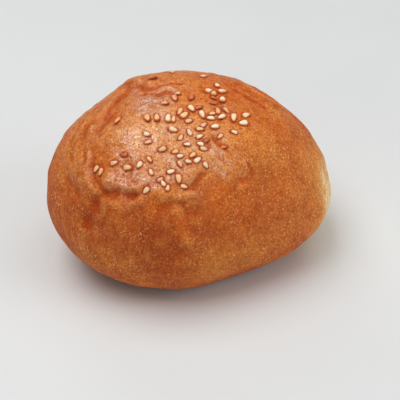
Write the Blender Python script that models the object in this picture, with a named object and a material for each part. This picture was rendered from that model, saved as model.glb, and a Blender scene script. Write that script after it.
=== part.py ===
"""Sesame bun: one baked piece, an uneven round roll with a flat foot.

All sizes below are millimetres and degrees; the mesh itself is in metres,
+Z up, the foot on z = 0.  The front of the roll looks along -Y.
"""

import math

import bmesh
import bpy
import numpy as np

MM = 0.001

# ---------------------------------------------------------------- main sizes
PLAN_RADIUS = 41.9                 # mean radius at the belly
PLAN_WAVES = (                     # cosine and sine share of 1, 2, 3, 4 lobes
    (-0.45, 3.47),
    (1.93, 1.34),
    (0.81, -0.26),
    (0.57, 0.08),
)
CROWN_HEIGHT = 55.0                # top of the crown above the foot
BELLY_HEIGHT = 18.6                # mean height of the widest ring
BELLY_TILT = (-1.49, -1.30)        # how that height changes towards +X and +Y
CROWN_FULLNESS = 0.96              # exponent of the upper profile
FOOT_FULLNESS = 1.06               # exponent of the lower profile
FOOT_RADIUS = 21.2                 # flat disc the roll rests on
FOOT_SHARE = 0.56                  # share of the lower half above the disc
FOOT_WAVE_SHARE = 0.7              # how much of the plan waves the disc follows
LEAN = (-1.94, 2.05)               # sideways lean for every 50 mm of height
FOOT_FADE = 7.0                    # relief dies out over this height

# --------------------------------------------------------------- mesh sizes
CUBE_CUTS = 28                     # faces along each edge of the start cube
LATITUDE_SHIFT = 14.0              # degrees, draws faces towards the crown
FINEST_FOLD = 1.7                  # half width of the narrowest fold modelled

# ------------------------------------------------------------ crust relief
# Creases and rolls follow a line through stations (azimuth, latitude) on the
# form: name, height (+) or depth (-), half width, stations.
LINES = (
    ("cap edge", -1.0, 1.9, ((137, 62), (154, 66), (169, 64), (-178, 63), (-168, 60), (-158, 54), (-156, 48))),
    ("shoulder roll", 0.7, 1.7, ((153, 63), (173, 61), (-175, 57), (-168, 52), (-162, 46))),
    ("shoulder crease", -0.7, 1.5, ((-175, 58), (-171, 54), (-168, 49), (-164, 47), (-160, 42))),
    ("outer roll", 0.6, 1.8, ((175, 54), (-177, 50), (-174, 46), (-169, 43), (-164, 38))),
    ("left flank roll", 0.5, 2.8, ((-158, 37), (-150, 34), (-143, 32), (-138, 29))),
    ("left flank crease", -0.5, 2.4, ((-159, 29), (-152, 27), (-146, 25), (-141, 23))),
    ("cap corner roll", 0.8, 1.6, ((128, 55), (136, 67), (139, 74), (129, 79))),
    ("cap crease", -0.8, 1.1, ((143, 63), (154, 75), (158, 80), (142, 83), (98, 85), (41, 84))),
    ("cap roll", 0.6, 1.2, ((164, 78), (159, 81), (161, 86), (-90, 89))),
    ("second cap crease", -0.6, 1.0, ((162, 71), (170, 78), (179, 82), (-156, 85), (-78, 86))),
    ("front valley", -1.2, 3.0, ((-140, 28), (-134, 27), (-129, 30), (-124, 31), (-121, 30), (-117, 31), (-112, 33))),
    ("front furrow", -1.4, 2.4, ((-132, 26), (-134, 22), (-136, 17), (-138, 12), (-141, 7))),
    ("upper roll", 0.8, 2.4, ((-138, 38), (-132, 36), (-126, 34), (-121, 34), (-116, 36), (-112, 40), (-107, 42))),
    ("front lip", 0.8, 1.8, ((-129, 25), (-125, 26), (-120, 26), (-115, 27), (-110, 31), (-104, 33), (-97, 31), (-91, 31), (-86, 32))),
    ("under lip", -0.4, 1.9, ((-106, 27), (-101, 28), (-94, 28), (-87, 28))),
    ("lower crease", -0.4, 1.2, ((-97, 22), (-94, 23), (-89, 24), (-85, 24), (-79, 25))),
    ("crown rib", 0.8, 1.3, ((-90, 35), (-87, 38), (-83, 41), (-78, 43))),
    ("crown rib side", -0.7, 1.4, ((-88, 34), (-84, 36), (-80, 39), (-76, 41))),
    ("crown fold", 0.7, 1.4, ((-68, 58), (-66, 54), (-65, 50), (-66, 45))),
    ("crown fold side", -0.6, 1.4, ((-63, 58), (-61, 53), (-60, 49), (-62, 45))),
    ("small wrinkle", 0.6, 0.9, ((-50, 40), (-51, 38), (-52, 34))),
    ("small wrinkle side", -0.5, 1.0, ((-47, 40), (-48, 36), (-50, 33))),
    ("dimple rim", 0.5, 1.0, ((-60, 31), (-57, 29), (-52, 30))),
    ("corner crevice", -0.9, 1.1, ((130, 57), (136, 62), (146, 66))),
    ("rear roll", 0.8, 1.4, ((45, 55), (22, 59), (13, 54), (9, 49), (8, 42))),
    ("rear crease", -0.8, 1.4, ((22, 70), (9, 65), (1, 59), (-3, 53))),
    ("outer rear crease", -0.7, 1.3, ((43, 51), (28, 51), (18, 48), (13, 42))),
    ("fine crease", -0.4, 0.9, ((-19, 56), (-13, 52), (-7, 46))),
    ("back crease", -1.0, 2.0, ((128, 38), (112, 43), (96, 42), (84, 37))),
    ("back roll", 0.7, 2.2, ((126, 31), (110, 36), (96, 35), (84, 30))),
    ("back furrow", -0.9, 2.1, ((74, 30), (68, 23), (65, 15))),
    ("back left crease", -0.8, 2.0, ((160, 38), (150, 32), (146, 24))),
)
# Rounded swellings (+) and dents (-): name, height, radius, azimuth, latitude.
SPOTS = (
    ("cap corner", 1.3, 6.0, 131, 60),
    ("cap top", 0.5, 9.0, 100, 76),
    ("shoulder hollow", -0.8, 8.0, -158, 61),
    ("crown plateau", 0.9, 12.0, -124, 68),
    ("front cheek", 0.5, 11.0, -104, 5),
    ("left cheek", 0.4, 13.0, -176, 6),
    ("furrow cheek", 0.8, 5.5, -124, 22),
    ("front hollow", -0.9, 8.0, -80, 14),
    ("right front cheek", 0.9, 12.0, -58, 6),
    ("right cheek", 0.9, 13.0, -12, 4),
    ("wrinkle dimple", -0.9, 1.8, -56, 32),
    ("crown hollow", -0.7, 5.0, -72, 34),
    ("right hollow", -0.8, 7.0, -45, 28),
    ("right shoulder", 0.6, 10.0, -16, 36),
    ("rear cheek", 0.9, 12.0, 75, 12),
    ("rear hollow", -0.8, 9.0, 100, 28),
    ("rear left cheek", 0.8, 12.0, 140, 16),
)
# Gentle waves of the whole crust: count of crests over the form, height.
SWELLS = ((3.1, 0.30), (5.3, 0.22), (8.7, 0.14))

CRUST_COLOUR = (0.42, 0.125, 0.026, 1.0)
CRUST_ROUGHNESS = 0.42
CRUST_METALLIC = 0.0


def form(azimuth, latitude):
    """Smooth form without relief, for angles in radians."""
    wave = sum(c * np.cos(k * azimuth) + s * np.sin(k * azimuth)
               for k, (c, s) in enumerate(PLAN_WAVES, start=1))
    reach = PLAN_RADIUS + wave
    foot = FOOT_RADIUS + FOOT_WAVE_SHARE * wave
    belly = BELLY_HEIGHT + BELLY_TILT[0] * np.cos(azimuth) + BELLY_TILT[1] * np.sin(azimuth)
    up = latitude >= 0.0
    low = np.clip(-latitude / (math.pi / 2), 0.0, 1.0)
    turn = np.clip(low / FOOT_SHARE, 0.0, 1.0) * math.pi / 2
    disc = np.clip((low - FOOT_SHARE) / (1.0 - FOOT_SHARE), 0.0, 1.0)
    cos_up = np.abs(np.cos(latitude)) ** CROWN_FULLNESS
    sin_up = np.abs(np.sin(latitude)) ** CROWN_FULLNESS
    cos_low = np.abs(np.cos(turn)) ** FOOT_FULLNESS
    sin_low = np.abs(np.sin(turn)) ** FOOT_FULLNESS
    rho = np.where(up, reach * cos_up, (foot + (reach - foot) * cos_low) * (1.0 - disc))
    z = np.where(up, belly + (CROWN_HEIGHT - belly) * sin_up, belly * (1.0 - sin_low))
    z = np.where(low >= FOOT_SHARE, 0.0, z)
    x = rho * np.cos(azimuth) + LEAN[0] * z / 50.0
    y = rho * np.sin(azimuth) + LEAN[1] * z / 50.0
    return np.stack([x, y, z], axis=-1)


def normals(azimuth, latitude):
    """Outward unit normals of the smooth form."""
    step = 1e-3
    here = np.clip(latitude, -math.pi / 2 + 4 * step, math.pi / 2 - 4 * step)
    round_way = form(azimuth + step, here) - form(azimuth - step, here)
    up_way = form(azimuth, here + step) - form(azimuth, here - step)
    n = np.cross(round_way, up_way)
    return n / np.maximum(np.linalg.norm(n, axis=-1, keepdims=True), 1e-12)


def smooth_line(stations, pieces=8):
    """Points of a smooth line through stations, on the form."""
    az = np.radians([s[0] for s in stations])
    la = np.radians([s[1] for s in stations])
    knots = form(az, la)
    knots = np.vstack([2 * knots[0] - knots[1], knots, 2 * knots[-1] - knots[-2]])
    out = []
    for i in range(1, len(knots) - 2):
        a, b, c, d = knots[i - 1:i + 3]
        for k in range(pieces):
            t = k / pieces
            out.append(0.5 * (2 * b + (c - a) * t + (2 * a - 5 * b + 4 * c - d) * t * t
                              + (3 * b - a - 3 * c + d) * t ** 3))
    out.append(knots[-2])
    return np.array(out)


def distance_to_line(points, line):
    """Distance of each point to a line, and how far along it that is, 0..1."""
    best = np.full(len(points), 1e9)
    along = np.zeros(len(points))
    count = len(line) - 1
    for i in range(count):
        a, b = line[i], line[i + 1]
        ab = b - a
        t = np.clip(((points - a) @ ab) / max(float(ab @ ab), 1e-12), 0.0, 1.0)
        gap = np.linalg.norm(points - (a + t[:, None] * ab), axis=1)
        near = gap < best
        best[near] = gap[near]
        along[near] = (i + t[near]) / count
    return best, along


def relief(points, azimuth, latitude):
    """Height of the crust over the smooth form, in millimetres."""
    high = np.zeros(len(points))
    for name, height, width, stations in LINES:
        gap, along = distance_to_line(points, smooth_line(stations))
        taper = np.clip(np.minimum(along, 1.0 - along) / 0.22, 0.15, 1.0)
        wide = max(width, FINEST_FOLD)
        high += height * taper * (width / wide) * np.exp(-(gap / wide) ** 2)
    for name, height, radius, az, la in SPOTS:
        centre = form(np.radians([float(az)]), np.radians([float(la)]))[0]
        gap = np.linalg.norm(points - centre, axis=1)
        high += height * np.exp(-(gap / radius) ** 2)
    unit = points / PLAN_RADIUS
    for k, (crests, height) in enumerate(SWELLS):
        turn = 1.7 * k + 0.4
        high += height * (np.sin(crests * unit[:, 0] + 2.1 * turn)
                          * np.sin(crests * unit[:, 1] - 1.3 * turn)
                          + 0.6 * np.sin(crests * (unit[:, 0] + unit[:, 2]) + turn)
                          * np.cos(crests * (unit[:, 1] - unit[:, 2]) - turn))
    lift = np.clip(points[:, 2] / FOOT_FADE, 0.0, 1.0)
    return high * lift * lift * (3.0 - 2.0 * lift)


def clear_scene():
    for obj in list(bpy.data.objects):
        bpy.data.objects.remove(obj, do_unlink=True)


def crust_material():
    mat = bpy.data.materials.new("crust")
    mat.use_nodes = True
    shader = mat.node_tree.nodes["Principled BSDF"]
    shader.inputs["Base Color"].default_value = CRUST_COLOUR
    shader.inputs["Roughness"].default_value = CRUST_ROUGHNESS
    shader.inputs["Metallic"].default_value = CRUST_METALLIC
    return mat


def bun_mesh():
    """A cube cut into even faces, rounded, then laid over the form."""
    bm = bmesh.new()
    bmesh.ops.create_cube(bm, size=2.0)
    bmesh.ops.subdivide_edges(bm, edges=bm.edges[:], cuts=CUBE_CUTS - 1, use_grid_fill=True)
    raw = np.array([v.co[:] for v in bm.verts])
    even = np.tan(raw * math.pi / 4)               # even angles over each face
    unit = even / np.linalg.norm(even, axis=1, keepdims=True)
    azimuth = np.arctan2(unit[:, 1], unit[:, 0])
    latitude = np.arcsin(np.clip(unit[:, 2], -1.0, 1.0))
    latitude = latitude + math.radians(LATITUDE_SHIFT) * np.cos(latitude)
    base = form(azimuth, latitude)
    high = relief(base, azimuth, latitude)
    points = base + normals(azimuth, latitude) * high[:, None]
    points[latitude <= -FOOT_SHARE * math.pi / 2, 2] = 0.0
    points[:, 2] = np.maximum(points[:, 2], 0.0)
    low, top = points.min(axis=0), points.max(axis=0)
    points[:, 0] -= (low[0] + top[0]) / 2
    points[:, 1] -= (low[1] + top[1]) / 2
    for vert, co in zip(bm.verts, points * MM):
        vert.co = co
    bmesh.ops.recalc_face_normals(bm, faces=bm.faces[:])
    for face in bm.faces:
        face.smooth = True
    mesh = bpy.data.meshes.new("bun")
    bm.to_mesh(mesh)
    bm.free()
    return mesh


def main():
    clear_scene()
    group = bpy.data.collections.new("sesame_bun")
    bpy.context.scene.collection.children.link(group)
    mesh = bun_mesh()
    mesh.materials.append(crust_material())
    group.objects.link(bpy.data.objects.new("bun", mesh))


main()
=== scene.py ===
import math

import bpy
import numpy as np
from mathutils import Matrix, Vector
from mathutils.bvhtree import BVHTree


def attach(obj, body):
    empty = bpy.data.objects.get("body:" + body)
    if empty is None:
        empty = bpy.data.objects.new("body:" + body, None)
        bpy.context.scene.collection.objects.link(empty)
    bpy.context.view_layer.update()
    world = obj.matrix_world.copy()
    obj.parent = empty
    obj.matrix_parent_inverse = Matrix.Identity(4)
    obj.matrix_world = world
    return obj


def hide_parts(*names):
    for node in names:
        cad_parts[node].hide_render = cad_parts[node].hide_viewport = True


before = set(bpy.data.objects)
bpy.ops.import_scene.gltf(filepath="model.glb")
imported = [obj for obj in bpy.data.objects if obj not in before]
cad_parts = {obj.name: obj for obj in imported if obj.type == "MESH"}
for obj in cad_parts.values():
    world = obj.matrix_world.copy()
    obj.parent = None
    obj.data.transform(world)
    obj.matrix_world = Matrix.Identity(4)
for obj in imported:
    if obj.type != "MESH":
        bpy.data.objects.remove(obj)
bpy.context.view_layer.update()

MM = 0.001
SEED = 20

# ------------------------------------------------------------------ form
# The same sizes as the solid, millimetres and degrees.
PLAN_RADIUS = 41.9
PLAN_WAVES = ((-0.45, 3.47), (1.93, 1.34), (0.81, -0.26), (0.57, 0.08))
CROWN_HEIGHT = 55.0
BELLY_HEIGHT = 18.6
BELLY_TILT = (-1.49, -1.30)
CROWN_FULLNESS = 0.96
FOOT_FULLNESS = 1.06
FOOT_RADIUS = 21.2
FOOT_SHARE = 0.56
FOOT_WAVE_SHARE = 0.7
LEAN = (-1.94, 2.05)
FOOT_FADE = 7.0
LATITUDE_SHIFT = 14.0
PLAN_MIDDLE = (-0.336, 4.167)      # middle of the solid's box, in the form's own axes

FACES_PER_EDGE = 118               # of the start cube, for the shown crust

LINES = (
    ("cap edge", -1.0, 1.9, ((137, 62), (154, 66), (169, 64), (-178, 63), (-168, 60), (-158, 54), (-156, 48))),
    ("shoulder roll", 0.7, 1.7, ((153, 63), (173, 61), (-175, 57), (-168, 52), (-162, 46))),
    ("shoulder crease", -0.7, 1.5, ((-175, 58), (-171, 54), (-168, 49), (-164, 47), (-160, 42))),
    ("outer roll", 0.6, 1.8, ((175, 54), (-177, 50), (-174, 46), (-169, 43), (-164, 38))),
    ("left flank roll", 0.5, 2.8, ((-158, 37), (-150, 34), (-143, 32), (-138, 29))),
    ("left flank crease", -0.5, 2.4, ((-159, 29), (-152, 27), (-146, 25), (-141, 23))),
    ("cap corner roll", 0.8, 1.6, ((128, 55), (136, 67), (139, 74), (129, 79))),
    ("cap crease", -0.8, 1.1, ((143, 63), (154, 75), (158, 80), (142, 83), (98, 85), (41, 84))),
    ("cap roll", 0.6, 1.2, ((164, 78), (159, 81), (161, 86), (-90, 89))),
    ("second cap crease", -0.6, 1.0, ((162, 71), (170, 78), (179, 82), (-156, 85), (-78, 86))),
    ("front valley", -1.2, 3.0, ((-140, 28), (-134, 27), (-129, 30), (-124, 31), (-121, 30), (-117, 31), (-112, 33))),
    ("front furrow", -1.4, 2.4, ((-132, 26), (-134, 22), (-136, 17), (-138, 12), (-141, 7))),
    ("upper roll", 0.8, 2.4, ((-138, 38), (-132, 36), (-126, 34), (-121, 34), (-116, 36), (-112, 40), (-107, 42))),
    ("front lip", 0.8, 1.8, ((-129, 25), (-125, 26), (-120, 26), (-115, 27), (-110, 31), (-104, 33), (-97, 31), (-91, 31), (-86, 32))),
    ("under lip", -0.4, 1.9, ((-106, 27), (-101, 28), (-94, 28), (-87, 28))),
    ("lower crease", -0.4, 1.2, ((-97, 22), (-94, 23), (-89, 24), (-85, 24), (-79, 25))),
    ("crown rib", 0.8, 1.3, ((-90, 35), (-87, 38), (-83, 41), (-78, 43))),
    ("crown rib side", -0.7, 1.4, ((-88, 34), (-84, 36), (-80, 39), (-76, 41))),
    ("crown fold", 0.7, 1.4, ((-68, 58), (-66, 54), (-65, 50), (-66, 45))),
    ("crown fold side", -0.6, 1.4, ((-63, 58), (-61, 53), (-60, 49), (-62, 45))),
    ("small wrinkle", 0.6, 0.9, ((-50, 40), (-51, 38), (-52, 34))),
    ("small wrinkle side", -0.5, 1.0, ((-47, 40), (-48, 36), (-50, 33))),
    ("dimple rim", 0.5, 1.0, ((-60, 31), (-57, 29), (-52, 30))),
    ("lip edge", 0.5, 0.8, ((-95, 30), (-91, 31), (-86, 32), (-82, 31))),
    ("front wrinkle", 0.45, 0.8, ((-98, 22), (-94, 23), (-89, 24))),
    ("upper roll edge", 0.5, 0.85, ((-136, 36.5), (-129, 34.5), (-124, 33.5), (-119, 34), (-114, 36.5), (-109, 39))),
    ("under the upper roll", -0.40, 0.85, ((-134, 33), (-128, 31), (-122, 30.5), (-117, 31), (-112, 34))),
    ("cap streak", 0.4, 0.8, ((127, 63), (134, 67), (142, 70))),
    ("corner crevice", -0.9, 1.1, ((130, 57), (136, 62), (146, 66))),
    ("rear roll", 0.8, 1.4, ((45, 55), (22, 59), (13, 54), (9, 49), (8, 42))),
    ("rear crease", -0.8, 1.4, ((22, 70), (9, 65), (1, 59), (-3, 53))),
    ("outer rear crease", -0.7, 1.3, ((43, 51), (28, 51), (18, 48), (13, 42))),
    ("fine crease", -0.4, 0.9, ((-19, 56), (-13, 52), (-7, 46))),
    ("back crease", -1.0, 2.0, ((128, 38), (112, 43), (96, 42), (84, 37))),
    ("back roll", 0.7, 2.2, ((126, 31), (110, 36), (96, 35), (84, 30))),
    ("back furrow", -0.9, 2.1, ((74, 30), (68, 23), (65, 15))),
    ("back left crease", -0.8, 2.0, ((160, 38), (150, 32), (146, 24))),
) + tuple(
    # slanting wrinkles side by side down the left flank
    ("flank wrinkle %d" % k, 0.56 if k % 2 else -0.50, 0.9 + 0.12 * (k % 3),
     tuple((164 + 6.2 * k + 5.5 * i + 2.0 * math.sin(2.3 * k + i), 55 - 1.6 * k - 4.6 * i + 1.6 * math.sin(1.7 * k + 2.1 * i))
           for i in range(4 + k % 2)))
    for k in range(9)
)
SPOTS = (
    ("cap corner", 1.3, 6.0, 131, 60),
    ("cap top", 0.5, 9.0, 100, 76),
    ("shoulder hollow", -0.8, 8.0, -158, 61),
    ("crown plateau", 0.9, 12.0, -124, 68),
    ("front cheek", 0.5, 11.0, -104, 5),
    ("left cheek", 0.4, 13.0, -176, 6),
    ("furrow cheek", 0.8, 5.5, -124, 22),
    ("front hollow", -0.9, 8.0, -80, 14),
    ("right front cheek", 0.9, 12.0, -58, 6),
    ("right cheek", 0.9, 13.0, -12, 4),
    ("wrinkle dimple", -0.9, 1.8, -56, 32),
    ("crown hollow", -0.7, 5.0, -72, 34),
    ("right hollow", -0.8, 7.0, -45, 28),
    ("right shoulder", 0.6, 10.0, -16, 36),
    ("rear cheek", 0.9, 12.0, 75, 12),
    ("rear hollow", -0.8, 9.0, 100, 28),
    ("rear left cheek", 0.8, 12.0, 140, 16),
    ("front bubble", 0.40, 2.4, -92, 11),
    ("second front bubble", 0.36, 2.7, -103, 10),
    ("lip bubble", 0.32, 1.8, -86, 18),
) + tuple(
    # shallow blisters all round the matt side
    ("side blister %d" % k, 0.20 + 0.05 * (k % 4), 1.7 + 0.5 * (k % 3),
     -158 + 9.7 * k, 1.0 + 25.0 * ((0.618 * k) % 1.0))
    for k in range(37)
)
SWELLS = ((3.1, 0.30), (5.3, 0.22), (8.7, 0.14))

# Browner, oranger or paler stains of the crust, with painted glints and painted bounce light among the pale ones:
# azimuth, latitude, radius, amount.
DARK_PATCHES = (
    (-102, 8, 9.0, 0.80), (-82, 13, 7.0, 0.50), (-92, 24, 6.0, 0.40), (-46, 27, 6.0, 0.45),
    (-83, 27, 5.0, 0.65), (-70, 8, 5.0, 0.50), (-96, -4, 6.0, 0.45), (-56, 14, 4.5, 0.35),
    (-114, 18, 5.0, 0.45), (-99, 17, 5.0, 0.40), (-141, 43, 5.0, 0.40), (-64, 34, 5.0, 0.50),
    (-113, 31, 3.5, 0.50), (-160, 79, 7.0, 0.30), (-86, 6, 6.0, 0.45), (-46, 22, 6.0, 0.40),
    (-134, 24, 6.0, 0.65), (-138, 14, 5.0, 0.55), (-118, 28, 6.0, 0.60), (-148, 30, 6.0, 0.35),
    (5, 64, 9.0, 0.35), (30, 62, 8.0, 0.40), (-165, 58, 5.0, 0.30), (-160, 46, 4.0, 0.35),
    (100, 30, 10.0, 0.40), (150, 30, 9.0, 0.35), (60, 20, 9.0, 0.35), (170, 63, 1.3, 0.90),
    (142, 63, 1.5, 0.90), (-115, 36, 4.0, 0.45), (-87, 14, 19.0, 0.28), (-100, 24, 4.0, 0.30),
    (-116, 10, 7.0, 0.35), (-48, 14, 7.0, 0.30),
)
GOLD_PATCHES = (
    (-112, 64, 12.0, 0.75), (-85, 50, 13.0, 0.75), (-68, 60, 10.0, 0.60), (-150, 55, 6.0, 0.35),
    (-38, 38, 9.0, 0.35), (120, 70, 8.0, 0.30), (-78, -3, 9.0, 0.65), (-60, -4, 8.0, 0.45),
    (-122, -3, 7.0, 0.35), (-98, 29, 2.6, 0.45), (-164, 30, 6.0, 0.35), (-12, 22, 7.0, 0.30),
)
ORANGE_PATCHES = (
    (-93, 20, 2.6, 0.80), (-56, 31, 2.2, 0.80), (-70, 32, 3.5, 0.50), (10, 68, 10.0, 0.75),
    (150, 77, 6.0, 0.50), (-75, 26, 5.0, 0.35), (-170, 61, 4.0, 0.55), (-110, 27, 5.0, 0.35),
    (120, 60, 9.0, 0.45), (-141, 43, 4.5, 0.45), (-28, 66, 6.0, 0.35), (-40, 22, 5.0, 0.30),
)
# Paler crust. The five smallest, on the small wrinkle and along the front lip, are painted glints; the low ones on
# the right are pale crust with painted bounce light from below.
PALE_CRUST_AND_PAINTED_LIGHT_PATCHES = (
    (-84, -2, 6.0, 0.10), (-141, -6, 8.0, 0.25), (150, -4, 9.0, 0.45), (-26, 10, 18.0, 0.22),
    (-14, 22, 9.0, 0.34), (2, 42, 6.0, 0.18), (-34, 38, 6.0, 0.12), (-25, -2, 7.0, 0.25),
    (-51, 40, 1.3, 0.45), (-52, 36, 1.1, 0.45), (-60, 30.5, 1.3, 0.40),
    (-88, 31.5, 1.2, 0.40), (-94, 23.5, 1.2, 0.35), (-11, -8, 8.0, 0.50), (-17, 0, 5.0, 0.42),
    (-21, -7, 6.5, 0.40),
)
# Where the wash is thin and dull, and where it ran down in a small glossy spot.
DULL_PATCHES = (
    (-179, 55, 7.0, 0.75), (-172, 45, 9.0, 0.75), (-164, 35, 9.0, 0.60), (150, 50, 12.0, 0.70),
    (5, 63, 9.0, 0.75), (-14, 54, 7.0, 0.50), (45, 60, 10.0, 0.70), (95, 74, 8.0, 0.50),
    (-42, 50, 8.0, 0.75), (-141, 43, 7.0, 0.80), (-21, 81, 6.0, 0.75), (61, 85, 5.0, 0.40),
)
GLOSS_PATCHES = ((-53, 37, 3.2, 0.90), (-88, 33, 6.0, 0.70), (-118, 35, 6.0, 0.80), (-129, 35, 3.5, 0.85))
# Where the wash dried thick and shines most.
SHINE_PATCHES = (
    (-148, 77, 5.5, 1.00), (-120, 76, 5.0, 0.90), (-126, 55, 4.5, 1.00), (-128, 49, 4.0, 1.00),
    (-60, 52, 3.2, 1.00), (-98, 45, 4.2, 0.95), (-112, 65, 4.5, 0.45), (-85, 39, 2.4, 1.00),
    (156, 71, 3.5, 1.00), (-173, 78, 4.0, 0.90), (-114, 58, 3.2, 0.90), (-92, 48, 3.4, 1.00),
    (-140, 57, 3.0, 0.80), (-122, 34, 2.4, 1.00), (-130, 35, 2.0, 0.90), (-64, 49, 2.6, 0.80),
    (-124, 34, 3.0, 0.80), (-170, 43, 2.2, 0.80), (134, 67, 1.8, 0.90), (153, 85, 2.6, 0.80),
    (-28, 71, 3.0, 0.50), (-109, 40, 3.0, 0.70), (-69, 45, 3.5, 0.50), (-152, 50, 2.0, 0.50),
    (-81, 59, 3.0, 0.50), (15, 44, 3.0, 0.70), (60, 60, 8.0, 0.50), (110, 55, 7.0, 0.60),
)
TORN_SIDE = (-14.0, 38.0)         # pale side that baked against its neighbour, from and to azimuth
TORN_LATITUDE = (-34.0, 19.0)


def form(azimuth, latitude):
    wave = sum(c * np.cos(k * azimuth) + s * np.sin(k * azimuth)
               for k, (c, s) in enumerate(PLAN_WAVES, start=1))
    reach = PLAN_RADIUS + wave
    foot = FOOT_RADIUS + FOOT_WAVE_SHARE * wave
    belly = BELLY_HEIGHT + BELLY_TILT[0] * np.cos(azimuth) + BELLY_TILT[1] * np.sin(azimuth)
    up = latitude >= 0.0
    low = np.clip(-latitude / (math.pi / 2), 0.0, 1.0)
    turn = np.clip(low / FOOT_SHARE, 0.0, 1.0) * math.pi / 2
    disc = np.clip((low - FOOT_SHARE) / (1.0 - FOOT_SHARE), 0.0, 1.0)
    cos_up = np.abs(np.cos(latitude)) ** CROWN_FULLNESS
    sin_up = np.abs(np.sin(latitude)) ** CROWN_FULLNESS
    cos_low = np.abs(np.cos(turn)) ** FOOT_FULLNESS
    sin_low = np.abs(np.sin(turn)) ** FOOT_FULLNESS
    rho = np.where(up, reach * cos_up, (foot + (reach - foot) * cos_low) * (1.0 - disc))
    z = np.where(up, belly + (CROWN_HEIGHT - belly) * sin_up, belly * (1.0 - sin_low))
    z = np.where(low >= FOOT_SHARE, 0.0, z)
    x = rho * np.cos(azimuth) + LEAN[0] * z / 50.0
    y = rho * np.sin(azimuth) + LEAN[1] * z / 50.0
    return np.stack([x, y, z], axis=-1)


def normals(azimuth, latitude):
    step = 1e-3
    here = np.clip(latitude, -math.pi / 2 + 4 * step, math.pi / 2 - 4 * step)
    round_way = form(azimuth + step, here) - form(azimuth - step, here)
    up_way = form(azimuth, here + step) - form(azimuth, here - step)
    n = np.cross(round_way, up_way)
    return n / np.maximum(np.linalg.norm(n, axis=-1, keepdims=True), 1e-12)


def on_form(azimuth, latitude):
    return form(np.radians([float(azimuth)]), np.radians([float(latitude)]))[0]


def smooth_line(stations, pieces=8):
    az = np.radians([s[0] for s in stations])
    la = np.radians([s[1] for s in stations])
    knots = form(az, la)
    knots = np.vstack([2 * knots[0] - knots[1], knots, 2 * knots[-1] - knots[-2]])
    out = []
    for i in range(1, len(knots) - 2):
        a, b, c, d = knots[i - 1:i + 3]
        for k in range(pieces):
            t = k / pieces
            out.append(0.5 * (2 * b + (c - a) * t + (2 * a - 5 * b + 4 * c - d) * t * t
                              + (3 * b - a - 3 * c + d) * t ** 3))
    out.append(knots[-2])
    return np.array(out)


def distance_to_line(points, line):
    best = np.full(len(points), 1e9)
    along = np.zeros(len(points))
    count = len(line) - 1
    for i in range(count):
        a, b = line[i], line[i + 1]
        ab = b - a
        t = np.clip(((points - a) @ ab) / max(float(ab @ ab), 1e-12), 0.0, 1.0)
        gap = np.linalg.norm(points - (a + t[:, None] * ab), axis=1)
        near = gap < best
        best[near] = gap[near]
        along[near] = (i + t[near]) / count
    return best, along


def smoothstep(low, high, x):
    t = np.clip((x - low) / (high - low), 0.0, 1.0)
    return t * t * (3.0 - 2.0 * t)


def lattice(ijk, seed):
    """A repeatable value in -1..1 for each whole-number lattice point."""
    h = (ijk[..., 0].astype(np.int64) * 73856093) ^ (ijk[..., 1].astype(np.int64) * 19349663) \
        ^ (ijk[..., 2].astype(np.int64) * 83492791) ^ np.int64(seed * 2654435761 % 4294967291)
    h = (h ^ (h >> 13)) * 1274126177 & 0x7FFFFFFF
    h = (h ^ (h >> 16)) * 668265263 & 0x7FFFFFFF
    return h / float(0x3FFFFFFF) - 1.0


def noise(points, size, seed):
    """Smooth value noise with features about `size` across."""
    p = points / size
    cell = np.floor(p).astype(np.int64)
    f = p - cell
    f = f * f * f * (f * (f * 6 - 15) + 10)
    total = np.zeros(len(p))
    for dx in (0, 1):
        for dy in (0, 1):
            for dz in (0, 1):
                w = (f[:, 0] if dx else 1 - f[:, 0]) * (f[:, 1] if dy else 1 - f[:, 1]) \
                    * (f[:, 2] if dz else 1 - f[:, 2])
                total += w * lattice(cell + np.array([dx, dy, dz]), seed)
    return total


def noise3(points, size, seed):
    return np.stack([noise(points, size, seed + k) for k in range(3)], axis=1)


def relief(points):
    """Height over the smooth form, and how deep the creases and how proud the rolls are."""
    high = np.zeros(len(points))
    crease = np.zeros(len(points))
    roll = np.zeros(len(points))
    bent = points + 1.0 * noise3(points, 5.0, SEED) + 0.35 * noise3(points, 2.0, SEED + 60)
    for name, height, width, stations in LINES:
        line = smooth_line(stations)
        near = (np.abs(bent - (line.max(axis=0) + line.min(axis=0)) / 2) <
                np.ptp(line, axis=0) / 2 + 4.5 * width + 2.0).all(axis=1)
        gap, along = distance_to_line(bent[near], line)
        taper = np.clip(np.minimum(along, 1.0 - along) / 0.22, 0.15, 1.0)
        rough = np.clip(1.0 + 0.55 * noise(bent[near], 3.2, SEED + 31), 0.25, 1.6)
        sharp = 1.5 if height < 0 else 2.0
        add = height * taper * rough * np.exp(-(gap / width) ** sharp)
        high[near] += add
        if height < 0:
            crease[near] = np.maximum(crease[near], -add * min(1.0, 1.5 / width) ** 1.3)
        else:
            roll[near] = np.maximum(roll[near], add)
    for name, height, radius, az, la in SPOTS:
        gap = np.linalg.norm(points - on_form(az, la), axis=1)
        high += height * np.exp(-(gap / radius) ** 2)
    unit = points / PLAN_RADIUS
    for k, (crests, height) in enumerate(SWELLS):
        turn = 1.7 * k + 0.4
        high += height * (np.sin(crests * unit[:, 0] + 2.1 * turn)
                          * np.sin(crests * unit[:, 1] - 1.3 * turn)
                          + 0.6 * np.sin(crests * (unit[:, 0] + unit[:, 2]) + turn)
                          * np.cos(crests * (unit[:, 1] - unit[:, 2]) - turn))
    return high, crease, roll


def patches(points, table):
    wander = points + 2.2 * noise3(points, 6.0, SEED + 50) + 0.7 * noise3(points, 2.0, SEED + 57)
    out = np.zeros(len(points))
    for az, la, radius, amount in table:
        gap = np.linalg.norm(wander - on_form(az, la), axis=1)
        out = np.maximum(out, amount * np.exp(-(gap / radius) ** 2))
    return out


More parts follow.
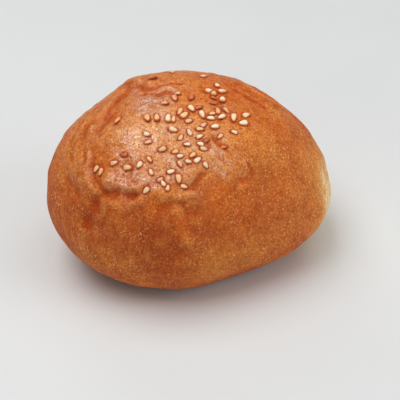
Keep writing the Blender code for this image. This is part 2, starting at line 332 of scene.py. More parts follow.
# ------------------------------------------------------------------ camera
# The photograph looks down at about 32 degrees and is rolled about 3 degrees.
FOCAL_PX = 1000.0                  # for an image 400 wide
ELEVATION = math.radians(32.0)
ROLL = math.radians(3.2)
DISTANCE = 319.1                   # millimetres from the middle of the bun
MIDDLE = Vector((0.0, 0.0, 26.0))
MIDDLE_PX = (188.4, 169.3)         # where the middle of the bun falls in the image

back = Vector((0.0, -math.cos(ELEVATION), math.sin(ELEVATION)))
flat_right = Vector((1.0, 0.0, 0.0))
flat_up = back.cross(flat_right)
right = (flat_right * math.cos(ROLL) - flat_up * math.sin(ROLL)).normalized()
up = back.cross(right).normalized()
eye = MIDDLE + back * DISTANCE
aim = MIDDLE + right * ((200.0 - MIDDLE_PX[0]) / FOCAL_PX * DISTANCE) \
    - up * ((200.0 - MIDDLE_PX[1]) / FOCAL_PX * DISTANCE)
view_back = (eye - aim).normalized()
view_right = (right - view_back * right.dot(view_back)).normalized()
view_up = view_back.cross(view_right).normalized()


def pixel_ray(x, y):
    d = view_right * ((x - 200.0) / FOCAL_PX) + view_up * ((200.0 - y) / FOCAL_PX) - view_back
    return d.normalized()


camera_data = bpy.data.cameras.new("camera")
camera_data.sensor_width = 36.0
camera_data.lens = FOCAL_PX / 400.0 * 36.0
camera_data.clip_start = 0.01
camera_data.clip_end = 20.0
camera = bpy.data.objects.new("camera", camera_data)
bpy.context.scene.collection.objects.link(camera)
turn = Matrix((view_right, view_up, view_back)).transposed().to_4x4()
camera.matrix_world = Matrix.Translation(eye * MM) @ turn
bpy.context.scene.camera = camera


# ------------------------------------------------------------------ crust mesh
def cube_sphere(n):
    """Vertices as whole-number cube coordinates, faces, and a map of six tiles."""
    grid, faces, uvs = [], [], []
    count = 0
    for axis in range(3):
        for side in (0, 1):
            a, b = np.meshgrid(np.arange(n + 1), np.arange(n + 1), indexing="ij")
            co = np.zeros((n + 1, n + 1, 3), int)
            co[..., axis] = side * n
            co[..., (axis + 1) % 3] = a
            co[..., (axis + 2) % 3] = b
            grid.append(co.reshape(-1, 3))
            index = count + np.arange((n + 1) * (n + 1)).reshape(n + 1, n + 1)
            count += (n + 1) * (n + 1)
            quad = np.stack([index[:-1, :-1], index[1:, :-1], index[1:, 1:], index[:-1, 1:]], axis=-1)
            corner = np.stack([a, b], axis=-1) / n
            tile_uv = np.stack([corner[:-1, :-1], corner[1:, :-1], corner[1:, 1:], corner[:-1, 1:]], axis=2)
            if side == 0:
                quad, tile_uv = quad[..., ::-1], tile_uv[..., ::-1, :]
            inset = 0.006
            place = np.array([axis, side])
            size = np.array([1 / 3, 1 / 2])
            tile_uv = (place + inset + tile_uv * (1 - 2 * inset)) * size
            faces.append(quad.reshape(-1, 4))
            uvs.append(tile_uv.reshape(-1, 4, 2))
    grid = np.vstack(grid)
    unique, inverse = np.unique(grid, axis=0, return_inverse=True)
    inverse = np.asarray(inverse).reshape(-1)
    return unique, inverse[np.vstack(faces)], np.vstack(uvs)


def build_mesh(name, points, faces, uvs=None):
    mesh = bpy.data.meshes.new(name)
    mesh.from_pydata((points * MM).tolist(), [], faces.tolist())
    mesh.update()
    mesh.polygons.foreach_set("use_smooth", np.ones(len(mesh.polygons), bool))
    if uvs is not None:
        layer = mesh.uv_layers.new(name="OFBake")
        layer.data.foreach_set("uv", uvs.reshape(-1).astype(np.float32))
    return mesh


def add_attribute(mesh, name, values):
    item = mesh.attributes.new(name, "FLOAT", "POINT")
    item.data.foreach_set("value", np.asarray(values, np.float32))


grid, faces, tile_uvs = cube_sphere(FACES_PER_EDGE)
raw = grid / FACES_PER_EDGE * 2.0 - 1.0
even = np.tan(raw * math.pi / 4)
unit = even / np.linalg.norm(even, axis=1, keepdims=True)
azimuth = np.arctan2(unit[:, 1], unit[:, 0])
latitude = np.arcsin(np.clip(unit[:, 2], -1.0, 1.0))
latitude = latitude + math.radians(LATITUDE_SHIFT) * np.cos(latitude)
base = form(azimuth, latitude)
outward = normals(azimuth, latitude)
height, crease, roll = relief(base)

# Where the egg wash reached: the crown, and further down on the left and front.
wash_edge = 37.0 + 7.0 * np.cos(azimuth - math.radians(20.0)) \
    + 5.0 * noise(base, 9.0, SEED + 3) + 4.0 * noise(base, 3.5, SEED + 4)
glaze = smoothstep(-8.0, 10.0, np.degrees(latitude) - wash_edge)
glaze = np.maximum(glaze, patches(base, GLOSS_PATCHES))

# Fine crust: soft lumps everywhere, leathery puckers on the washed part,
# and upright streaks of blisters on the sides.
lumps = 0.22 * noise(base, 9.0, SEED + 5) + 0.15 * noise(base, 4.5, SEED + 6)
pucker_at = base * np.array([1.0, 1.0, 1.3]) + 1.2 * noise3(base, 4.0, SEED + 7)
pucker = 1.0 - 2.0 * np.abs(noise(pucker_at, 3.1, SEED + 10))
pucker = 0.14 * pucker + 0.08 * noise(base, 1.6, SEED + 11)
side_at = base * np.array([1.0, 1.0, 0.35])
blister = 0.035 * noise(side_at, 1.3, SEED + 12) + 0.05 * noise(side_at, 3.0, SEED + 13)
height = height + lumps + glaze * pucker + (1.0 - glaze) * blister


def levelled(values, faces, rounds):
    """Values averaged over their neighbours again and again."""
    a = faces.reshape(-1)
    b = np.roll(faces, -1, axis=1).reshape(-1)
    count = np.bincount(a, minlength=len(values)) + np.bincount(b, minlength=len(values))
    out = values.astype(float)
    for _ in range(rounds):
        total = np.bincount(a, out[b], len(values)) + np.bincount(b, out[a], len(values))
        out = 0.5 * out + 0.5 * total / count
    return out


# The hollow value also paints shade into the crust colour in dents and light onto ridges.
hollow = levelled(height, faces, 14) - height      # above nought in dents, below on ridges

lift = smoothstep(0.0, FOOT_FADE, base[:, 2])
points = base + outward * (height * lift)[:, None]
points[latitude <= -FOOT_SHARE * math.pi / 2, 2] = 0.0
points[:, 2] = np.maximum(points[:, 2], 0.0)
points[:, 0] -= PLAN_MIDDLE[0]
points[:, 1] -= PLAN_MIDDLE[1]

tree = BVHTree.FromPolygons([Vector(p) for p in points], [tuple(f) for f in faces.tolist()])

# ------------------------------------------------------------------ seeds
PALE, TAN, BROWN, SUNK = "pale", "tan", "brown", "sunk"
# Seeds in view: image place, slant of the long way in the image, seen length, kind.
SEEN_SEEDS = (
    (117.8, 121.0, 56, 9, TAN), (147.5, 118.2, -60, 8, TAN), (156.9, 117.5, -82, 8, TAN),
    (168.0, 118.2, 84, 9, PALE), (173.6, 119.2, 80, 7, TAN), (173.0, 129.8, -14, 10, PALE),
    (147.2, 134.4, -20, 8, PALE), (148.0, 142.3, 20, 9, SUNK), (162.2, 149.2, 20, 9.5, SUNK),
    (164.7, 103.2, -15, 9, SUNK), (124.4, 155.0, 0, 8, BROWN), (114.4, 163.0, 20, 9, SUNK),
    (128.1, 167.6, -4, 10, TAN), (139.4, 165.0, 55, 8.5, PALE), (149.4, 159.8, -58, 8, TAN),
    (150.9, 171.9, -65, 7.5, PALE), (171.3, 171.9, 15, 9, PALE), (178.8, 178.8, 98, 10, TAN),
    (163.1, 183.4, -60, 8, PALE), (160.3, 179.4, 32, 7, SUNK), (167.8, 188.1, 78, 7.5, TAN),
    (184.1, 186.4, -15, 7.5, PALE), (146.3, 190.4, 45, 9, PALE), (180.0, 164.0, -64, 8, TAN),
    (188.3, 161.5, -10, 7, PALE), (197.4, 160.2, 38, 9, PALE), (180.3, 156.3, 12, 7, PALE),
    (192.6, 155.4, 35, 8, TAN), (175.0, 151.9, 20, 8, TAN), (186.9, 144.8, 0, 6.5, PALE),
    (180.7, 137.5, 58, 6.5, TAN), (189.2, 132.5, -60, 8.5, PALE), (188.8, 121.2, 14, 8, TAN),
    (184.4, 115.4, 36, 9, TAN), (180.0, 111.9, 62, 8, TAN), (191.4, 109.0, -50, 9, PALE),
    (177.7, 94.2, 0, 6, PALE), (174.6, 98.2, -60, 7, SUNK), (191.5, 98.0, 58, 7, BROWN),
    (198.5, 108.0, 20, 7.5, BROWN), (202.3, 114.6, -65, 8.5, PALE), (203.8, 76.9, 5, 6.5, PALE),
    (216.9, 85.8, -60, 6, PALE), (208.5, 91.2, 22, 9, PALE), (222.3, 91.9, 14, 9.5, PALE),
    (213.8, 93.6, 78, 5, TAN), (213.8, 98.2, -30, 5, BROWN), (222.3, 99.6, 80, 6, PALE),
    (213.8, 103.4, 0, 8, BROWN), (211.9, 114.0, 10, 6.5, TAN), (217.8, 111.2, -80, 7, TAN),
    (226.0, 110.8, -36, 9, TAN), (210.2, 118.6, 0, 9, PALE), (221.5, 117.3, 25, 9, PALE),
    (233.5, 118.1, 85, 9, PALE), (245.8, 115.4, 20, 7.5, PALE), (243.1, 123.3, -5, 9.5, PALE),
    (233.8, 132.2, -20, 7, PALE), (203.8, 124.9, 36, 7.5, SUNK), (214.6, 126.9, 8, 9, PALE),
    (200.0, 129.4, 0, 9, TAN), (199.6, 136.6, 25, 8, PALE), (206.4, 140.8, 25, 6, BROWN),
    (200.2, 144.2, -15, 8, PALE), (203.8, 148.8, -5, 9, SUNK), (220.0, 136.5, 40, 6.5, TAN),
    (223.8, 147.5, -5, 6, BROWN), (205.6, 165.2, -58, 6.5, PALE), (96.7, 169.0, 56, 8.5, TAN),
    (101.0, 172.0, 66, 9, TAN), (152.8, 78.6, 5, 8, BROWN), (172.0, 72.6, 0, 5, TAN),
)
SEED_LENGTH = (2.15, 3.2)          # shortest and longest
SEED_WIDTH, SEED_THICKNESS = 0.58, 0.34    # as shares of the length
HIDDEN_SEEDS = 10                  # strewn behind the crown, where the view stops

rng = np.random.default_rng(SEED)


def seed_shape(around=16, along=11):
    """One sesame seed: flat teardrop with a blunt and a pointed end, one unit long."""
    verts, quads, rim = [], [], []
    for i in range(1, along):
        t = i / along
        u = -math.cos(t * math.pi)
        swell = math.sin(t * math.pi) ** 0.95 * (1.0 - 0.36 * u)
        for j in range(around):
            a = 2 * math.pi * j / around
            c, s = math.cos(a), math.sin(a)
            verts.append((u * 0.5, c * swell * 0.5, s * swell * 0.5))
            rim.append(max(abs(c) ** 2 * 0.9, abs(u) ** 3))
    tail, nose = len(verts), len(verts) + 1
    verts += [(-0.5, 0.0, 0.0), (0.5, 0.0, 0.0)]
    rim += [1.0, 1.0]
    for i in range(along - 2):
        for j in range(around):
            k = (j + 1) % around
            quads.append((i * around + j, i * around + k, (i + 1) * around + k, (i + 1) * around + j))
    last = (along - 2) * around
    for j in range(around):
        k = (j + 1) % around
        quads.append((tail, k, j))
        quads.append((nose, last + j, last + k))
    return np.array(verts), quads, np.array(rim)


SHAPE, SHAPE_FACES, SHAPE_RIM = seed_shape()
piles = {PALE: [], TAN: [], BROWN: [], SUNK: []}
seed_places = []


def place_seed(where, normal, heading, kind, length):
    """heading: a tangent direction of the crust; the pointed end lies that way."""
    tilt = Vector((rng.normal(0, 0.12), rng.normal(0, 0.12), 0.0))
    n = (normal + tilt).normalized()
    x = (heading - n * heading.dot(n)).normalized()
    y = n.cross(x)
    size = length * np.array([1.0, SEED_WIDTH * rng.uniform(0.92, 1.10), SEED_THICKNESS * rng.uniform(0.9, 1.1)])
    proud = {PALE: 0.22, TAN: 0.17, BROWN: 0.10, SUNK: 0.02}[kind]
    local = SHAPE * size
    local[:, 1] += rng.normal(0, 0.05) * local[:, 0] ** 2
    world = np.array(where + n * proud) + local[:, :1] * np.array(x) + local[:, 1:2] * np.array(y) \
        + local[:, 2:3] * np.array(n)
    piles[kind].append((world, float(rng.uniform(0.0, 1.0)), SHAPE[:, 0]))
    seed_places.append((np.array(where), kind, length, np.array(x)))


for px, py, slant, seen, kind in SEEN_SEEDS:
    for step in range(16):                       # a seed on the skyline is looked for a little lower
        direction = pixel_ray(px, py + 0.5 * step)
        hit, normal, _, reach = tree.ray_cast(eye, direction)
        if hit is not None:
            break
    if hit is None:
        continue
    if normal.dot(direction) > 0:
        normal = -normal
    a = math.radians(slant + 180.0 * (rng.random() < 0.5))
    wanted = view_right * math.cos(a) + view_up * math.sin(a)
    # the tangent direction that looks like `wanted` from the camera
    heading = direction.cross(wanted).cross(normal).normalized()
    if heading.dot(wanted) < 0:
        heading = -heading
    shown = (heading - direction * heading.dot(direction)).length
    length = 0.95 * seen / FOCAL_PX * reach / max(shown, 0.45)
    place_seed(hit, normal, heading, kind, min(max(length, SEED_LENGTH[0]), SEED_LENGTH[1]))

placed = 0
tries = 0
while placed < HIDDEN_SEEDS and tries < 4000:
    tries += 1
    spot = np.array([rng.normal(6.0, 13.0), rng.normal(25.0, 9.0)])
    hit, normal, _, reach = tree.ray_cast(Vector((spot[0], spot[1], 100.0)), Vector((0, 0, -1)))
    if hit is None or normal.z < 0.16:
        continue
    if normal.dot((eye - hit).normalized()) > -0.02:
        continue
    raised = hit + normal * 1.4
    if tree.ray_cast(raised, (eye - raised).normalized())[0] is None:
        continue
    if any(np.linalg.norm(np.array(hit) - item[0]) < rng.uniform(2.4, 7.0) for item in seed_places):
        continue
    a = rng.uniform(0, 2 * math.pi)
    kind = str(rng.choice([PALE, PALE, TAN, TAN, BROWN, SUNK]))
    heading = Vector((math.cos(a), math.sin(a), 0.0))
    place_seed(hit, normal, (heading - normal * heading.dot(normal)).normalized(), kind,
               float(rng.uniform(2.4, 3.1)))
    placed += 1

# Round every seed the wash pooled and browned; that ring is also darkened as painted shade where the seed meets the
# crust.
wash_pool_and_shade = np.zeros(len(points))
dip = np.zeros(len(points))
for spot, kind, length, heading in seed_places:
    near = np.nonzero((np.abs(points - spot) < 5.0).all(axis=1))[0]
    away = points[near] - spot
    lengthwise = away @ heading
    across = np.sqrt(np.maximum((away ** 2).sum(axis=1) - lengthwise ** 2, 0.0))
    gap = np.sqrt((lengthwise / (0.5 * length)) ** 2 + (across / (0.5 * length * SEED_WIDTH)) ** 2)
    wash_pool_and_shade[near] = np.maximum(wash_pool_and_shade[near], np.exp(-((gap - 1.10) / 0.36) ** 2))
    dip[near] = np.maximum(dip[near], np.exp(-(gap / 1.35) ** 2))
points -= outward * (0.16 * dip)[:, None]


def seed_piece(kind, name):
    verts, polys, tones, along, rim = [], [], [], [], []
    for world, tone, lengthwise in piles[kind]:
        start = len(verts)
        verts += world.tolist()
        tones += [tone] * len(world)
        along += list(lengthwise)
        rim += list(SHAPE_RIM)
        polys += [[start + i for i in face] for face in SHAPE_FACES]
    mesh = bpy.data.meshes.new(name)
    mesh.from_pydata((np.array(verts) * MM).tolist(), [], polys)
    mesh.update()
    mesh.polygons.foreach_set("use_smooth", np.ones(len(mesh.polygons), bool))
    add_attribute(mesh, "tone", tones)
    add_attribute(mesh, "along", along)
    add_attribute(mesh, "rim", rim)
    piece = bpy.data.objects.new(name, mesh)
    bpy.context.scene.collection.objects.link(piece)
    return piece


# ------------------------------------------------------------------ materials
def srgb(r, g, b):
    def lin(v):
        v = v / 255.0
        return v / 12.92 if v <= 0.04045 else ((v + 0.055) / 1.055) ** 2.4
    return (lin(r), lin(g), lin(b), 1.0)


class Nodes:
    """Short hand for a material's node tree."""

    def __init__(self, name):
        self.mat = bpy.data.materials.new(name)
        self.mat.use_nodes = True
        self.tree = self.mat.node_tree
        self.shader = self.tree.nodes["Principled BSDF"]
        self.place = self.new("ShaderNodeTexCoord").outputs["Object"]

    def new(self, kind):
        return self.tree.nodes.new(kind)

    def link(self, a, b):
        self.tree.links.new(a, b)

    def put(self, socket, value):
        if isinstance(value, bpy.types.NodeSocket):
            self.link(value, socket)
        else:
            socket.default_value = value

    def attribute(self, name):
        node = self.new("ShaderNodeAttribute")
        node.attribute_name = name
        return node.outputs["Fac"]

    def stretched(self, scale):
        node = self.new("ShaderNodeMapping")
        self.link(self.place, node.inputs["Vector"])
        node.inputs["Scale"].default_value = scale
        return node.outputs["Vector"]

    def noise(self, size_mm, detail=3.0, rough=0.55, where=None, distortion=0.0):
        node = self.new("ShaderNodeTexNoise")
        self.link(where or self.place, node.inputs["Vector"])
        node.inputs["Scale"].default_value = 1000.0 / size_mm
        node.inputs["Detail"].default_value = detail
        node.inputs["Roughness"].default_value = rough
        node.inputs["Distortion"].default_value = distortion
        return node.outputs["Fac"]

    def cells(self, size_mm, where=None):
        node = self.new("ShaderNodeTexVoronoi")
        self.link(where or self.place, node.inputs["Vector"])
        node.inputs["Scale"].default_value = 1000.0 / size_mm
        return node.outputs["Distance"]

    def span(self, value, low, high, out_low=0.0, out_high=1.0):
        node = self.new("ShaderNodeMapRange")
        node.interpolation_type = "SMOOTHSTEP"
        self.link(value, node.inputs["Value"])
        node.inputs["From Min"].default_value = low
        node.inputs["From Max"].default_value = high
        node.inputs["To Min"].default_value = out_low
        node.inputs["To Max"].default_value = out_high
        return node.outputs["Result"]

    def math(self, kind, a, b=0.0):
        node = self.new("ShaderNodeMath")
        node.operation = kind
        self.put(node.inputs[0], a)
        self.put(node.inputs[1], b)
        return node.outputs["Value"]

    def times(self, a, b):
        return self.math("MULTIPLY", a, b)

    def plus(self, a, b):
        return self.math("ADD", a, b)

    def mix(self, factor, a, b):
        node = self.new("ShaderNodeMix")
        node.data_type = "RGBA"
        self.put(node.inputs[0], factor)
        self.put(node.inputs[6], a)
        self.put(node.inputs[7], b)
        return node.outputs[2]

    def blend(self, factor, a, b):
        """The same for plain numbers."""
        node = self.new("ShaderNodeMix")
        node.data_type = "FLOAT"
        self.put(node.inputs[0], factor)
        self.put(node.inputs[2], a)
        self.put(node.inputs[3], b)
        return node.outputs[0]

    def tint(self, colour, factors):
        """Darker or lighter by a factor for each channel."""
        node = self.new("ShaderNodeVectorMath")
        node.operation = "MULTIPLY"
        self.link(colour, node.inputs[0])
        self.link(factors, node.inputs[1])
        return node.outputs["Vector"]

    def bump(self, height, strength, distance_mm, normal=None):
        node = self.new("ShaderNodeBump")
        self.put(node.inputs["Strength"], strength)
        node.inputs["Distance"].default_value = distance_mm * MM
        self.link(height, node.inputs["Height"])
        if normal is not None:
            self.link(normal, node.inputs["Normal"])
        return node.outputs["Normal"]


def crust_material():
    m = Nodes("baked_crust")
    glaze_in = m.attribute("glaze")
    crease_in = m.attribute("crease")
    painted_roll_light_in = m.attribute("roll")
    pale_in = m.attribute("pale")
    dark_in = m.attribute("dark")
    orange_in = m.attribute("orange")
    gold_in = m.attribute("gold")
    dull_in = m.attribute("dull")
    shine_in = m.attribute("shine")
    wash_pool_and_shade_in = m.attribute("wash_pool_and_shade")
    under_in = m.attribute("under")
    hollow_in = m.attribute("hollow")

    upright = m.stretched((1.0, 1.0, 0.30))
    broad = m.noise(16.0, 3.0, 0.55)
    middle = m.noise(5.0, 4.0, 0.6, distortion=0.3)
    fine = m.noise(1.3, 4.0, 0.65)
    grain = m.noise(0.60, 2.0, 0.6)
    streak = m.noise(1.0, 3.0, 0.6, where=upright)
    fleck_noise = m.noise(0.55, 2.0, 0.5, where=m.stretched((1.0, 1.0, 0.75)))
    blotch = m.noise(3.4, 5.0, 0.65, distortion=0.8)
    pits = m.times(m.span(m.cells(1.05), 0.34, 0.12), m.span(m.noise(2.4, 2.0), 0.44, 0.58))

    # the washed crown
    washed = m.mix(m.span(middle, 0.36, 0.66), srgb(212, 102, 22), srgb(230, 134, 46))
    washed = m.mix(m.times(m.span(broad, 0.40, 0.62), 0.6), washed, srgb(222, 116, 28))
    washed = m.mix(m.times(m.span(fine, 0.46, 0.62), 0.45), washed, srgb(242, 156, 66))
    flecks = m.times(m.span(fleck_noise, 0.57, 0.66), m.span(m.noise(7.0, 3.0, 0.6), 0.36, 0.62, 0.25, 1.0))
    washed = m.mix(m.span(blotch, 0.50, 0.66, 0.0, 0.45), washed, srgb(196, 78, 10))
    washed = m.mix(m.times(flecks, 0.40), washed, srgb(252, 190, 112))
    washed = m.mix(m.times(pits, 0.75), washed, srgb(164, 62, 12))
    # the matt sides
    matt = m.mix(m.span(middle, 0.35, 0.66), srgb(188, 78, 25), srgb(216, 113, 43))
    matt = m.mix(m.span(m.noise(9.0, 3.0, 0.6), 0.48, 0.64, 0.0, 0.50), matt, srgb(174, 72, 24))
    matt = m.mix(m.span(blotch, 0.48, 0.66, 0.0, 0.50), matt, srgb(172, 66, 20))
    matt = m.mix(m.times(m.span(streak, 0.42, 0.66), 0.40), matt, srgb(226, 128, 56))
    matt = m.mix(m.times(flecks, 0.75), matt, srgb(253, 192, 122))
    matt = m.mix(m.times(pits, 0.50), matt, srgb(150, 56, 16))

    colour = m.mix(glaze_in, matt, washed)
    colour = m.mix(m.times(gold_in, 0.6), colour, srgb(238, 164, 72))
    colour = m.mix(m.times(dark_in, 0.8), colour, srgb(155, 61, 24))
    colour = m.mix(m.times(orange_in, 0.8), colour, srgb(222, 98, 18))
    # Painted light on the rolls and ridges, painted shade in the creases and dents, following the relief.
    colour = m.mix(m.times(painted_roll_light_in, 0.30), colour, srgb(234, 144, 70))
    colour = m.mix(m.times(crease_in, 0.65), colour, srgb(172, 60, 14))
    colour = m.mix(m.times(m.span(hollow_in, 0.0, 1.0), 0.6), colour, srgb(186, 70, 14))
    colour = m.mix(m.times(m.span(hollow_in, 0.0, -1.0), 0.35), colour, srgb(238, 146, 66))
    # Painted shade round each seed, over the browner pooled wash.
    colour = m.mix(m.times(wash_pool_and_shade_in, 0.90), colour, srgb(172, 55, 2))
    # Pale crust where it baked against its neighbour, plus the painted glints and painted bounce light of the pale
    # patch table.
    pale = m.times(pale_in, m.span(m.noise(2.6, 3.0, 0.6), 0.25, 0.6, 0.70, 1.0))
    colour = m.mix(m.span(pale, 0.0, 0.55), colour, m.mix(m.span(streak, 0.4, 0.65), srgb(228, 142, 66), srgb(240, 164, 88)))
    colour = m.mix(m.span(pale, 0.45, 0.90), colour, m.mix(m.span(streak, 0.4, 0.65), srgb(250, 204, 140), srgb(255, 228, 176)))
    dim = m.mix(glaze_in, (0.81, 0.68, 0.50, 1.0), (0.76, 0.62, 0.46, 1.0))
    lit = m.mix(glaze_in, (1.15, 1.30, 1.52, 1.0), (1.18, 1.36, 1.66, 1.0))
    colour = m.tint(colour, m.mix(m.span(grain, 0.30, 0.70), dim, lit))
    browned = m.mix(m.span(middle, 0.35, 0.65), srgb(150, 84, 42), srgb(182, 112, 60))
    colour = m.mix(under_in, colour, browned)
    m.link(colour, m.shader.inputs["Base Color"])

    rough = m.blend(glaze_in, m.span(fine, 0.3, 0.7, 0.66, 0.82), m.span(fine, 0.3, 0.7, 0.30, 0.44))
    m.link(rough, m.shader.inputs["Roughness"])
    coat = m.times(m.times(glaze_in, glaze_in), m.span(broad, 0.35, 0.6, 0.75, 1.0))
    coat = m.times(m.times(coat, m.blend(wash_pool_and_shade_in, 1.0, 0.20)), m.math("SUBTRACT", 1.0, dull_in))
    coat = m.times(coat, m.span(crease_in, 0.0, 0.6, 1.0, 0.10))
    coat = m.times(coat, m.span(hollow_in, 0.1, 0.9, 1.0, 0.35))
    coat = m.times(coat, m.blend(shine_in, 0.28, 1.0))
    coat = m.times(coat, m.span(m.noise(2.2, 4.0, 0.7, distortion=0.6), 0.40, 0.58, 0.42, 1.0))
    coat = m.times(coat, m.span(m.noise(0.9, 2.0, 0.6), 0.40, 0.58, 0.34, 1.0))
    m.link(coat, m.shader.inputs["Coat Weight"])
    m.shader.inputs["Coat Roughness"].default_value = 0.19
    m.shader.inputs["Coat IOR"].default_value = 4.6
    m.shader.inputs["IOR"].default_value = 1.45
    m.shader.inputs["Specular IOR Level"].default_value = 0.17
    m.shader.inputs["Sheen Weight"].default_value = 0.035
    m.shader.inputs["Sheen Roughness"].default_value = 0.40

    n = m.bump(fine, 0.7, 0.50)
    n = m.bump(grain, m.blend(glaze_in, 0.75, 0.95), 0.30, n)
    n = m.bump(pits, m.blend(glaze_in, 0.5, 0.9), -0.22, n)
    n = m.bump(streak, m.blend(glaze_in, 0.45, 0.0), 0.25, n)
    n = m.bump(flecks, m.blend(glaze_in, 0.30, 0.0), 0.14, n)
    m.link(n, m.shader.inputs["Normal"])
    # the wash fills the finest grain but not the pits
    n = m.bump(middle, 0.6, 0.50)
    n = m.bump(fine, 0.8, 0.40, n)
    n = m.bump(m.noise(0.95, 3.0, 0.6), 1.0, 0.32, n)
    n = m.bump(grain, 0.9, 0.06, n)
    n = m.bump(pits, 0.9, -0.28, n)
    m.link(n, m.shader.inputs["Coat Normal"])
    return m.mat


def seed_material(name, low, high, edge, rough):
    m = Nodes(name)
    tone = m.attribute("tone")
    along = m.attribute("along")
    rim = m.attribute("rim")
    spot = m.noise(0.8, 3.0, 0.6)
    colour = m.mix(tone, low, high)
    colour = m.mix(m.span(spot, 0.52, 0.74, 0.0, 0.35), colour, edge)
    # Sides and ends darken toward the edge colour: partly the seed's own browner rim, partly painted shade where it
    # meets the crust.
    colour = m.mix(m.span(rim, 0.20, 0.80, 0.0, 0.90), colour, edge)
    colour = m.mix(m.span(along, 0.25, 0.5, 0.0, 0.7), colour, edge)
    m.link(colour, m.shader.inputs["Base Color"])
    m.link(m.span(spot, 0.3, 0.7, rough, rough + 0.15), m.shader.inputs["Roughness"])
    m.shader.inputs["Specular IOR Level"].default_value = 0.5
    n = m.bump(m.noise(0.25, 3.0, 0.6), 0.35, 0.05)
    n = m.bump(spot, 0.3, 0.10, n)
    m.link(n, m.shader.inputs["Normal"])
    return m.mat


def floor_material():
    m = Nodes("pale_floor")
    cloud = m.noise(60.0, 3.0, 0.5)
    m.link(m.mix(cloud, srgb(226, 228, 228), srgb(230, 232, 232)), m.shader.inputs["Base Color"])
    m.link(m.span(cloud, 0.3, 0.7, 0.55, 0.62), m.shader.inputs["Roughness"])
    m.link(m.bump(m.noise(0.9, 2.0), 0.05, 0.05), m.shader.inputs["Normal"])
    return m.mat


# ------------------------------------------------------------------ pieces
crust = build_mesh("bun_crust", points, faces, tile_uvs)
under = 1.0 - smoothstep(1.2, 5.0, points[:, 2] + 0.8 * noise(base, 3.0, SEED + 21))
foot_ring = smoothstep(0.0, 5.0, 9.0 - points[:, 2]) * (1.0 - smoothstep(0.0, 4.0, 4.5 - points[:, 2]))
wander = noise3(base, 9.0, SEED + 70) + 0.45 * noise3(base, 3.0, SEED + 75)
side_az = np.degrees(azimuth) + 1.5 + 5.0 * wander[:, 0] * smoothstep(-8.0, 6.0, np.degrees(azimuth))
side_la = np.degrees(latitude) + 6.5 * wander[:, 1]
torn = smoothstep(TORN_SIDE[0] - 12, TORN_SIDE[0] + 7, side_az) * (1 - smoothstep(TORN_SIDE[1] - 30, TORN_SIDE[1] + 14, side_az)) \
    * smoothstep(TORN_LATITUDE[0] - 12, TORN_LATITUDE[0] + 12, side_la) \
    * (1 - smoothstep(TORN_LATITUDE[1] - 14, TORN_LATITUDE[1] + 17, side_la)) \
    * (1 - 0.22 * smoothstep(0.0, 22.0, side_az))
pale = np.maximum(np.maximum(patches(base, PALE_CRUST_AND_PAINTED_LIGHT_PATCHES), 0.12 * foot_ring), torn)
# Colour masks; crease, roll and hollow also paint shade and light from the relief, and the seed ring paints shade
# round the seeds.
for name, values in (
    ("glaze", glaze),
    ("crease", np.clip(crease / 1.0, 0.0, 1.0) * lift),
    ("roll", np.clip(roll / 0.8, 0.0, 1.0) * lift),
    ("pale", np.clip(pale, 0.0, 1.0)),
    ("dark", patches(base, DARK_PATCHES)),
    ("orange", patches(base, ORANGE_PATCHES)),
    ("gold", patches(base, GOLD_PATCHES)),
    ("dull", patches(base, DULL_PATCHES)),
    ("shine", patches(base, SHINE_PATCHES)),
    ("wash_pool_and_shade", wash_pool_and_shade),
    ("hollow", np.clip(hollow / 0.12, -1.0, 1.0) * lift),
    ("under", np.clip(under, 0.0, 1.0)),
):
    add_attribute(crust, name, values)
crust.materials.append(crust_material())
bun = bpy.data.objects.new("bun_crust", crust)
bpy.context.scene.collection.objects.link(bun)
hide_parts("bun")
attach(bun, "root")

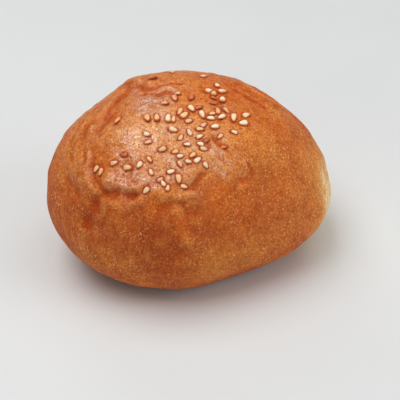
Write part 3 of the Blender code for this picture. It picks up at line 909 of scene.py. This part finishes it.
seed_looks = {
    PALE: ("sesame_pale", srgb(255, 222, 176), srgb(255, 238, 206), srgb(222, 128, 56), 0.38),
    TAN: ("sesame_tan", srgb(252, 188, 126), srgb(255, 210, 154), srgb(208, 104, 40), 0.36),
    BROWN: ("sesame_brown", srgb(206, 102, 46), srgb(228, 128, 66), srgb(156, 56, 14), 0.28),
    SUNK: ("sesame_glazed", srgb(238, 168, 118), srgb(250, 198, 152), srgb(170, 74, 24), 0.24),
}
for kind, look in seed_looks.items():
    piece = seed_piece(kind, look[0])
    piece.data.materials.append(seed_material(*look))
    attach(piece, "root")

# ------------------------------------------------------------------ stage
floor_mesh = bpy.data.meshes.new("floor")
floor_mesh.from_pydata([(-3, -3, 0), (3, -3, 0), (3, 3, 0), (-3, 3, 0)], [], [(0, 1, 2, 3)])
floor_mesh.materials.append(floor_material())
floor = bpy.data.objects.new("floor", floor_mesh)
bpy.context.scene.collection.objects.link(floor)


def soft_light(name, at, towards, width, height, watts, colour):
    data = bpy.data.lights.new(name, "AREA")
    data.shape = "RECTANGLE"
    data.size = width
    data.size_y = height
    data.energy = watts
    data.color = colour
    lamp = bpy.data.objects.new(name, data)
    bpy.context.scene.collection.objects.link(lamp)
    z = (Vector(at) - Vector(towards)).normalized()
    x = (Vector((1, 0, 0)) - z * z.x).normalized()
    lamp.matrix_world = Matrix.Translation(at) @ Matrix((x, z.cross(x), z)).transposed().to_4x4()
    return lamp


# A long soft light over the bun and to its left, a dimmer one over its right,
# a faint one behind, and soft fills from the right and the front.
soft_light("overhead", (-0.31, 0.0, 1.0), (0.0, 0.0, 0.03), 0.62, 1.10, 7.4, (1.0, 0.995, 0.985))
soft_light("overhead right", (0.34, 0.0, 1.0), (0.0, 0.0, 0.03), 0.60, 1.00, 2.2, (1.0, 0.995, 0.985))
soft_light("behind", (-0.22, 0.90, 0.62), (0.0, 0.0, 0.03), 0.60, 0.50, 1.0, (1.0, 0.995, 0.985))
soft_light("right fill", (1.02, -0.38, 0.52), (0.0, 0.0, 0.03), 0.80, 0.60, 4.0, (1.0, 1.0, 1.0))
soft_light("front fill", (-0.40, -1.08, 0.56), (0.0, 0.0, 0.03), 0.90, 0.50, 1.6, (1.0, 1.0, 1.0))

world = bpy.data.worlds.new("world")
world.use_nodes = True
world.node_tree.nodes["Background"].inputs["Color"].default_value = (0.96, 0.98, 1.0, 1.0)
world.node_tree.nodes["Background"].inputs["Strength"].default_value = 0.12
bpy.context.scene.world = world
bpy.context.scene.view_settings.view_transform = "Standard"

# ------------------------------------------------------------------ update
bpy.context.view_layer.update()
